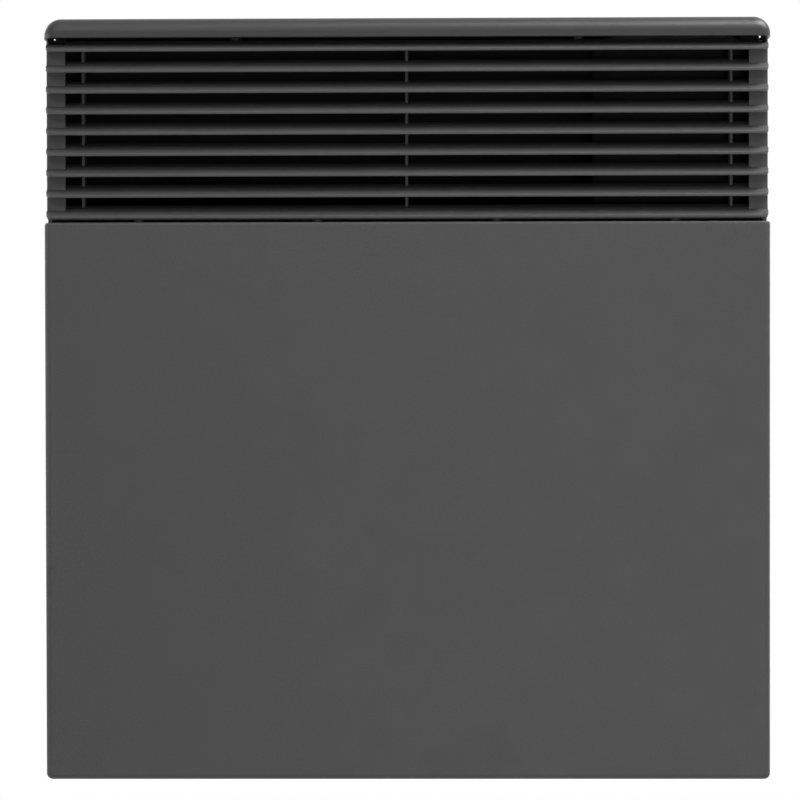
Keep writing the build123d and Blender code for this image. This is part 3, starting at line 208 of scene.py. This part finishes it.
looks = {
    "cover_paint": dict(colour=(0.051, 0.051, 0.0515), rough=0.55, specular=0.25, tint=0.012, tint_scale=9.0,
                        speck=0.11, speck_scale=1150.0, bump=0.35, bump_scale=1300.0, soft_edge=EDGE,
                        wear=0.05),
    "grille_plastic": dict(moulding, colour=(0.05, 0.05, 0.0505), rough=0.5, specular=0.28, soft_edge=EDGE),
    "cap_plastic": dict(moulding, colour=(0.0225, 0.0225, 0.0229), rough=0.42, specular=0.29,
                        soft_edge=FULL_EDGE),
    "galvanised": dict(colour=(0.5, 0.51, 0.52), rough=0.42, metal=0.9, tint=0.08, spangle=0.16, bump=0.08,
                       bump_scale=260.0, soft_edge=EDGE, rough_spread=0.08),
    "bracket_paint": dict(colour=(0.06, 0.06, 0.061), rough=0.5, tint=0.05, speck=0.16, bump=0.35,
                          bump_scale=1200.0, soft_edge=EDGE, wear=0.2),
    "bright_sheet": dict(colour=(0.75, 0.76, 0.77), rough=0.3, metal=1.0, tint=0.05, tint_scale=30.0,
                         stretch=(0.05, 1, 1), bump=0.05),
    # black paint darkened to 0.007: partly painted shade for the inside behind the slats
    "black_sheet": dict(black, colour=(0.007, 0.007, 0.007), bump=0.2),
    "element_metal": dict(colour=(0.6, 0.6, 0.61), rough=0.38, metal=1.0, tint_scale=40.0,
                          stretch=(0.04, 1, 1), bump=0.1, bump_scale=1100.0, soft_edge=FINE_EDGE),
    "steel": dict(colour=(0.5, 0.5, 0.51), rough=0.32, metal=1.0, tint=0.1, tint_scale=200.0, bump=0.08,
                  bump_scale=1500.0, soft_edge=FINE_EDGE),
    "ceramic": dict(colour=(0.78, 0.76, 0.7), rough=0.62, tint=0.05, tint_scale=120.0, bump=0.15),
    # black paint darkened to 0.007: partly painted shade for the inside behind the slats
    "housing_plastic": dict(black, colour=(0.007, 0.007, 0.0072), rough=0.85, specular=0.06, bump=0.15),
    "fascia_plastic": dict(colour=(0.026, 0.026, 0.027), rough=0.55, speck=0.15, bump=0.25,
                           bump_scale=1500.0, soft_edge=FINE_EDGE),
    "dial_plastic": dict(colour=(0.1, 0.1, 0.102), rough=0.42, tint=0.05, speck=0.1, bump=0.15,
                         bump_scale=1500.0, soft_edge=EDGE, wear=0.15),
    "board": dict(colour=(0.03, 0.14, 0.06), rough=0.4, tint=0.15, tint_scale=90.0, bump=0.15,
                  bump_scale=800.0),
    "component_black": dict(colour=(0.016, 0.016, 0.017), rough=0.36, tint=0.1, bump=0.08, soft_edge=EDGE,
                            wear=0.08),
    "component_blue": dict(colour=(0.03, 0.08, 0.3), rough=0.3, tint=0.1, bump=0.05),
    "copper_coil": dict(colour=(0.5, 0.22, 0.09), rough=0.38, metal=0.8, tint=0.2, tint_scale=60.0,
                        stretch=(1, 1, 14), bump=0.3, bump_scale=400.0),
    "lens": dict(colour=(0.8, 0.42, 0.08), rough=0.12, tint=0.1, tint_scale=300.0, clear=0.6,
                 rough_spread=0.02),
    "block_plastic": dict(colour=(0.62, 0.61, 0.56), rough=0.45, tint=0.04, tint_scale=80.0, bump=0.08),
    "brass": dict(colour=(0.72, 0.53, 0.24), rough=0.3, metal=1.0, tint=0.1, tint_scale=200.0, bump=0.08),
    "gland_rubber": dict(rubber, colour=(0.02, 0.02, 0.02), rough=0.7),
    "spacer_rubber": dict(rubber, colour=(0.028, 0.028, 0.028), rough=0.72),
    "lock_plastic": dict(colour=(0.55, 0.035, 0.02), rough=0.34, tint_scale=120.0, bump=0.06, soft_edge=EDGE),
    "wire_brown": dict(wire, colour=(0.16, 0.06, 0.02)),
    "wire_blue": dict(wire, colour=(0.02, 0.07, 0.35)),
    "wire_green": dict(wire, colour=(0.15, 0.4, 0.04)),
    "wire_white": dict(wire, colour=(0.75, 0.75, 0.72), rough=0.5, tint=0.06),
    "wire_black": dict(wire, colour=(0.02, 0.02, 0.02)),
}
materials = {slot: finish(slot, **look) for slot, look in looks.items()}

slot_of = {row["node"]: row["material_slot"] for row in frame["record"]["subparts"]}
for name, node in frame["nodes"].items():
    node.data.materials.clear()
    node.data.materials.append(materials[slot_of[name]])


# ---------------------------------------------------------------- printed marks on the controls
PRINT = 0.06 * MM               # thickness of a printed mark
PRINT_SLOT = "block_plastic"    # all marks are in its off-white
STROKE = 0.012                  # share of a number's size by which its strokes are thickened


def mesh_object(name, points, faces):
    mesh = bpy.data.meshes.new(name)
    mesh.from_pydata(points, [], faces)
    return bpy.data.objects.new(name, mesh)


def lay(piece, slot, body):
    """Adds a finished piece to the scene: the material of its slot and the body that it rides on."""
    bpy.context.scene.collection.objects.link(piece)
    piece.data.materials.append(materials[slot])
    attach(piece, body)


def printed(name, outline, matrix):
    """A mark with a plain outline, standing on the matrix's own floor."""
    count = len(outline)
    points = [matrix @ Vector((x, y, z)) for z in (0, PRINT) for x, y in outline]
    faces = [tuple(reversed(range(count))), tuple(range(count, 2 * count))]
    faces += [(i, (i + 1) % count, count + (i + 1) % count, count + i) for i in range(count)]
    return mesh_object(name, points, faces)


def bar(name, half_width, half_length, matrix):
    return printed(name, [(-half_width, -half_length), (half_width, -half_length),
                          (half_width, half_length), (-half_width, half_length)], matrix)


def ring(name, inner, outer, matrix, sides=40):
    turns = [2 * math.pi * i / sides for i in range(sides)]
    rows = [(inner, 0), (outer, 0), (outer, PRINT), (inner, PRINT)]
    points = [matrix @ Vector((r * math.cos(t), r * math.sin(t), z)) for r, z in rows for t in turns]
    faces = [(a * sides + i, a * sides + (i + 1) % sides, b * sides + (i + 1) % sides, b * sides + i)
             for a, b in ((1, 0), (2, 1), (3, 2), (0, 3)) for i in range(sides)]
    return mesh_object(name, points, faces)


def numeral(name, text, size, matrix):
    """A number that stands on the matrix's own floor, centred on it."""
    curve = bpy.data.curves.new(name, "FONT")
    curve.body = text
    curve.size = size
    curve.align_x = "CENTER"
    curve.align_y = "CENTER"
    curve.extrude = PRINT / 2
    curve.offset = size * STROKE
    mesh = bpy.data.meshes.new_from_object(bpy.data.objects.new(name, curve))
    mesh.transform(matrix @ Matrix.Translation((0, 0, PRINT / 2)))
    return bpy.data.objects.new(name, mesh)


joints = {joint["name"]: joint for joint in frame["joints"]}

# Numbers round the dial, spread over its travel. The first stands at the pointer, towards the room.
dial_low, dial_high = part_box("thermostat_dial")
dial_middle = (dial_low + dial_high) / 2
numeral_circle = 0.68 * (dial_high.x - dial_low.x) / 2
numeral_size = 3.4 * MM
first_numeral_angle = -90
last_numeral = 6
dial_travel = joints["dial_turn"]["range_deg"][1]
for step in range(last_numeral + 1):
    turned = math.radians(first_numeral_angle + dial_travel / last_numeral * step)
    place = Matrix.Translation((dial_middle.x + numeral_circle * math.cos(turned),
                                dial_middle.y + numeral_circle * math.sin(turned), dial_high.z))
    facing = Matrix.Rotation(turned - math.radians(first_numeral_angle), 4, "Z")
    lay(numeral("dial_numeral_%d" % step, str(step), numeral_size, place @ facing), PRINT_SLOT, "dial")

# A pointer on the top cover in front of the dial
pointer_gap = 5.5 * MM
pointer_half, pointer_tail = 1.4 * MM, 1.2 * MM
pointer_at = Matrix.Translation((dial_middle.x, dial_low.y - pointer_gap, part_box("top_cover")[1].z))
pointer = [(-pointer_half, -pointer_tail), (pointer_half, -pointer_tail), (0, pointer_half)]
lay(printed("dial_pointer", pointer, pointer_at), PRINT_SLOT, "heater")

# Marks on the rocker's hollow face: a bar for on towards the wall, a ring for off towards the room
mark_reach = 5.2 * MM           # from the axle to a mark, along the face
mark_lift = 3.42 * MM           # from the axle up to the face there
mark_slope = 6.853              # degrees by which the hollow rises there
bar_half_width, bar_half_length = 0.25 * MM, 1.3 * MM
ring_inner, ring_outer = 0.95 * MM, 1.4 * MM
axle = Matrix.Translation(joints["rocker_tip"]["pos_m"])
tip = Matrix.Rotation(math.radians(-joints["rocker_tip"]["range_deg"][0] / 2), 4, "X")
on_side, off_side = (axle @ tip @ Matrix.Translation((0, side * mark_reach, mark_lift))
                     @ Matrix.Rotation(side * math.radians(mark_slope), 4, "X") for side in (1, -1))
lay(bar("rocker_bar", bar_half_width, bar_half_length, on_side), PRINT_SLOT, "rocker")
lay(ring("rocker_ring", ring_inner, ring_outer, off_side), PRINT_SLOT, "rocker")

# A bar beside each of the selector's places, longer from place to place
selector_places = 3
selector_gap = 1.6 * MM
shortest_half, half_step, half_thickness = 0.5 * MM, 0.25 * MM, 0.2 * MM
slider_low, slider_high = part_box("mode_slider")
slider_travel = joints["selector_slide"]["range_m"][1]
for step in range(selector_places):
    moved = step * slider_travel / (selector_places - 1)
    spot = Matrix.Translation((slider_high.x + selector_gap, (slider_low.y + slider_high.y) / 2 - moved,
                               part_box("control_fascia")[1].z))
    lay(bar("selector_mark_%d" % step, shortest_half + step * half_step, half_thickness, spot),
        PRINT_SLOT, "heater")


# ---------------------------------------------------------------- dark sheets behind the slats: painted shade
def sheet(name, low, high, hole=None):
    """Upright plate between two corners. A hole is its (left, right, bottom, top)."""
    (left, front, bottom), (right, back, top) = low, high
    loops = [(left, right, bottom, top)] + ([hole] if hole else [])
    points = [(x, y, z) for x0, x1, z0, z1 in loops for y in (front, back)
              for x, z in ((x0, z0), (x1, z0), (x1, z1), (x0, z1))]
    turns = [(i, (i + 1) % 4) for i in range(4)]
    faces = [(j, i, 4 + i, 4 + j) for i, j in turns]
    if hole:
        faces += [(8 + i, 8 + j, 12 + j, 12 + i) for i, j in turns]
        faces += [(i, j, 8 + j, 8 + i) for i, j in turns]
        faces += [(4 + j, 4 + i, 12 + i, 12 + j) for i, j in turns]
    else:
        faces += [(0, 1, 2, 3), (7, 6, 5, 4)]
    return mesh_object(name, points, faces)


grille_low, grille_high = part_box("outlet_grille")
deflector_low, deflector_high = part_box("air_deflector")
housing_low, housing_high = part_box("control_housing")
black_thickness = 0.4 * MM

# Black sheets at the ends of the first gap, painted shade that keeps the gap under the cap dark, each with a hole
# in front of the grille's notch. Widths are counted from the grille's end inwards and heights from its top.
shade_sheet_front = grille_low.y + 5.5 * MM
shade_sheet_back = shade_sheet_front + black_thickness
shade_sheet_start = 1.2 * MM
shade_sheet_bottom = grille_high.z - 2.75 * MM
for name, side, shade_sheet_end, rise, hole_across, hole_up in (
        ("left_gap_shield", -1, 11.0 * MM, 1.7 * MM, (4.25 * MM, 5.55 * MM), (-0.8 * MM, 0.5 * MM)),
        ("right_gap_shield", 1, 15.4 * MM, 1.9 * MM, (3.5 * MM, 5.4 * MM), (-2.1 * MM, 1.6 * MM))):
    left, right = sorted(side * (grille_high.x - inward) for inward in (shade_sheet_start, shade_sheet_end))
    hole = (*sorted(side * (grille_high.x - inward) for inward in hole_across),
            *(grille_high.z + up for up in hole_up))
    lay(sheet(name, (left, shade_sheet_front, shade_sheet_bottom), (right, shade_sheet_back, grille_high.z + rise), hole),
        "black_sheet", "heater")

# A black sheet over the slit between the deflector and the control housing: painted shade that keeps the slit dark
slit_shade_on_deflector, slit_shade_on_housing = 6.2 * MM, 2.0 * MM
slit_shade_thickness = 0.5 * MM
slit_shade_gap = 0.1 * MM
slit_shade_foot, slit_shade_drop = 2.0 * MM, 0.4 * MM
slit_shade_back = housing_low.y - slit_shade_gap
lay(sheet("housing_slit_painted_shade",
          (deflector_high.x - slit_shade_on_deflector, slit_shade_back - slit_shade_thickness, deflector_low.z + slit_shade_foot),
          (housing_low.x + slit_shade_on_housing, slit_shade_back, housing_high.z - slit_shade_drop)), "black_sheet", "heater")

# A black sheet over the slit at the deflector's left end, between the lowest slats: painted shade that keeps the
# slit dark
end_out, end_in = 1.2 * MM, 3.7 * MM
end_foot, end_height = 0.5 * MM, 36.0 * MM
end_back = deflector_high.y - 11.0 * MM
lay(sheet("left_end_painted_shade",
          (deflector_low.x - end_out, end_back - black_thickness, deflector_low.z + end_foot),
          (deflector_low.x + end_in, end_back, deflector_low.z + end_height)), "black_sheet", "heater")


# ---------------------------------------------------------------- stage, light and camera
def background_rays(tree):
    """The rays that see the white background: camera, glossy and transmission rays."""
    path = tree.nodes.new("ShaderNodeLightPath")
    rays = path.outputs["Is Camera Ray"]
    for kind in ("Is Glossy Ray", "Is Transmission Ray"):
        rays = combined(tree, "MAXIMUM", rays, path.outputs[kind])
    return rays


# The floor, most of whose brightness is the background's own white
FLOOR_WHITE = 0.88
floor_half_width, floor_half_depth = 2.0, 1.25
floor_level = cad_box[0].z - 0.32
floor = mesh_object("floor", [(-floor_half_width, -floor_half_depth, floor_level),
                              (floor_half_width, -floor_half_depth, floor_level),
                              (floor_half_width, floor_half_depth, floor_level),
                              (-floor_half_width, floor_half_depth, floor_level)], [(0, 1, 2, 3)])
bpy.context.scene.collection.objects.link(floor)
floor_paint = finish("floor_paint", colour=(0.82, 0.82, 0.82), rough=0.7, tint=0.02, tint_scale=3.0)
tree = floor_paint.node_tree
glow = tree.nodes.new("ShaderNodeEmission")
mixed = tree.nodes.new("ShaderNodeMixShader")
feed(tree, combined(tree, "MULTIPLY", background_rays(tree), FLOOR_WHITE), mixed.inputs[0])
feed(tree, tree.nodes["Principled BSDF"].outputs["BSDF"], mixed.inputs[1])
feed(tree, glow.outputs["Emission"], mixed.inputs[2])
feed(tree, mixed.outputs["Shader"], tree.nodes["Material Output"].inputs["Surface"])
floor.data.materials.append(floor_paint)

# The world: white where the background shows, nearly dark as a light on the part
AMBIENT, WHITE = 0.02, 1.0
world = bpy.data.worlds.new("studio")
bpy.context.scene.world = world
world.use_nodes = True
tree = world.node_tree
tree.nodes.clear()
chooser = tree.nodes.new("ShaderNodeMixShader")
feed(tree, background_rays(tree), chooser.inputs[0])
for socket, strength in ((1, AMBIENT), (2, WHITE)):
    background = tree.nodes.new("ShaderNodeBackground")
    background.inputs["Color"].default_value = (1, 1, 1, 1)
    background.inputs["Strength"].default_value = strength
    feed(tree, background.outputs[0], chooser.inputs[socket])
feed(tree, chooser.outputs[0], tree.nodes.new("ShaderNodeOutputWorld").inputs[0])

# Soft lamps: name, place, the point that each one faces, width, height and watts
heater_middle = (0, -0.05, 0.05)
cap_right = (0.26, -0.05, 0.18)
back_middle = (0, 0.02, 0)
for name, place, aim, width, height, power in (
        ("key_light", (-0.658, -1.411, 1.14), heater_middle, 0.7, 0.5, 6.5),
        ("left_light", (-1.892, -0.066, 0.216), heater_middle, 0.7, 0.5, 9),
        ("low_light", (0.45, -1.8, -0.345), heater_middle, 0.7, 0.5, 8.2),
        ("front_light", (0.27, -1.533, 1.14), heater_middle, 0.7, 0.5, 2.5),
        ("high_light", (0.165, -0.936, 1.696), heater_middle, 0.7, 0.5, 8),
        ("right_light", (1.344, 0, 1.394), heater_middle, 0.7, 0.5, 19),
        ("overhead_light", (0.66, -0.35, 1.1), cap_right, 0.95, 0.3, 18),
        ("back_left_light", (-0.9, 1.1, 0.5), back_middle, 0.8, 0.8, 8),
        ("back_right_light", (1.0, 1.0, -0.1), back_middle, 0.8, 0.8, 8)):
    light = bpy.data.lights.new(name, "AREA")
    light.shape = "RECTANGLE"
    light.size, light.size_y = width, height
    light.energy = power
    lamp = bpy.data.objects.new(name, light)
    lamp.location = place
    lamp.rotation_euler = (Vector(aim) - Vector(place)).to_track_quat("-Z", "Y").to_euler()
    bpy.context.scene.collection.objects.link(lamp)

# The photograph's camera: straight in front, turned, dipped and leaned by less than a degree
camera_place = (0.00725, -1.23115, -0.00672)
turn, dip, lean = 0.564, -0.698, 0.116
lens_data = bpy.data.cameras.new("camera")
lens_data.lens = 90.0
lens_data.sensor_width = 36.0
camera = bpy.data.objects.new("camera", lens_data)
aimed = Matrix.Translation(camera_place)
for axis, angle in (("Z", turn), ("X", dip), ("Y", lean), ("X", 90)):
    aimed = aimed @ Matrix.Rotation(math.radians(angle), 4, axis)
camera.matrix_world = aimed
bpy.context.scene.collection.objects.link(camera)
bpy.context.scene.camera = camera
bpy.context.scene.view_settings.view_transform = "Standard"
